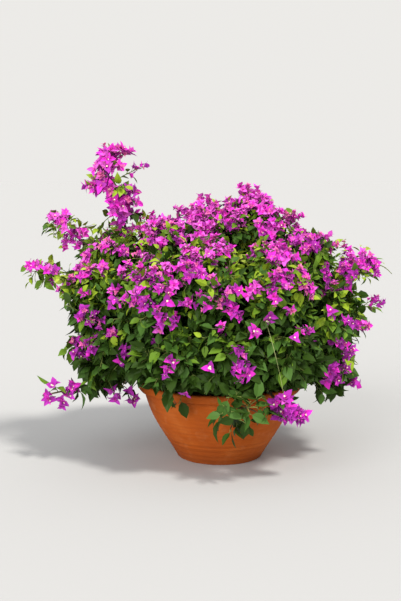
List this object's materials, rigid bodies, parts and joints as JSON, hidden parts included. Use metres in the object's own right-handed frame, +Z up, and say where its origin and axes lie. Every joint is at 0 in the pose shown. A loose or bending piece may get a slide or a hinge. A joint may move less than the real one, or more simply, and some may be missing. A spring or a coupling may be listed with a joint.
{
  "type": "bougainvillea bush",
  "caption": "Bougainvillea bush in full blossom on a short trunk, with arching boughs and one tall spray, growing in a wide round terracotta bowl.",
  "frame": {"origin": "middle of the flat underside of the bowl, on the surface it stands on", "axes": "+Z up, -Y towards the front that the picture shows, +X to the right seen from there"},
  "size_m": [1.0978, 0.7665, 0.9434],
  "materials": {
    "terracotta": "matt",
    "soil": "crumbly, matt",
    "bark": "rough bark",
    "leaves": "satin leaf",
    "bracts": "papery"
  },
  "bodies": {
    "root": {"blossom_back_centre": "bracts", "blossom_back_left": "bracts", "blossom_back_right": "bracts", "blossom_crown_centre": "bracts", "blossom_crown_left": "bracts", "blossom_crown_right": "bracts", "blossom_front_bloom": "bracts", "blossom_front_centre": "bracts", "blossom_front_left": "bracts", "blossom_front_right": "bracts", "blossom_left_arm_tip": "bracts", "blossom_left_arm_upper": "bracts", "blossom_left_trail": "bracts", "blossom_right_arm": "bracts", "blossom_right_shoulder": "bracts", "blossom_spike": "bracts", "bough_back_centre": "bark", "bough_back_left": "bark", "bough_back_low_centre": "bark", "bough_back_low_left": "bark", "bough_back_low_right": "bark", "bough_back_right": "bark", "bough_crown_centre": "bark", "bough_crown_left": "bark", "bough_crown_right": "bark", "bough_front_bloom": "bark", "bough_front_centre": "bark", "bough_front_left": "bark", "bough_front_low_centre": "bark", "bough_front_low_left": "bark", "bough_front_low_right": "bark", "bough_front_right": "bark", "bough_front_trail": "bark", "bough_left_arm_tip": "bark", "bough_left_arm_upper": "bark", "bough_left_flank": "bark", "bough_left_shoulder": "bark", "bough_left_skirt": "bark", "bough_left_trail": "bark", "bough_right_arm": "bark", "bough_right_flank": "bark", "bough_right_low": "bark", "bough_right_shoulder": "bark", "bough_spike": "bark", "foliage_back_low_centre": "leaves", "foliage_back_low_left": "leaves", "foliage_back_low_right": "leaves", "foliage_front_low_centre": "leaves", "foliage_front_low_left": "leaves", "foliage_front_low_right": "leaves", "foliage_front_trail": "leaves", "foliage_left_flank": "leaves", "foliage_left_shoulder": "leaves", "foliage_left_skirt": "leaves", "foliage_right_flank": "leaves", "foliage_right_low": "leaves", "pot": "terracotta", "soil": "soil", "trunk": "bark"}
  },
  "joints": []
}
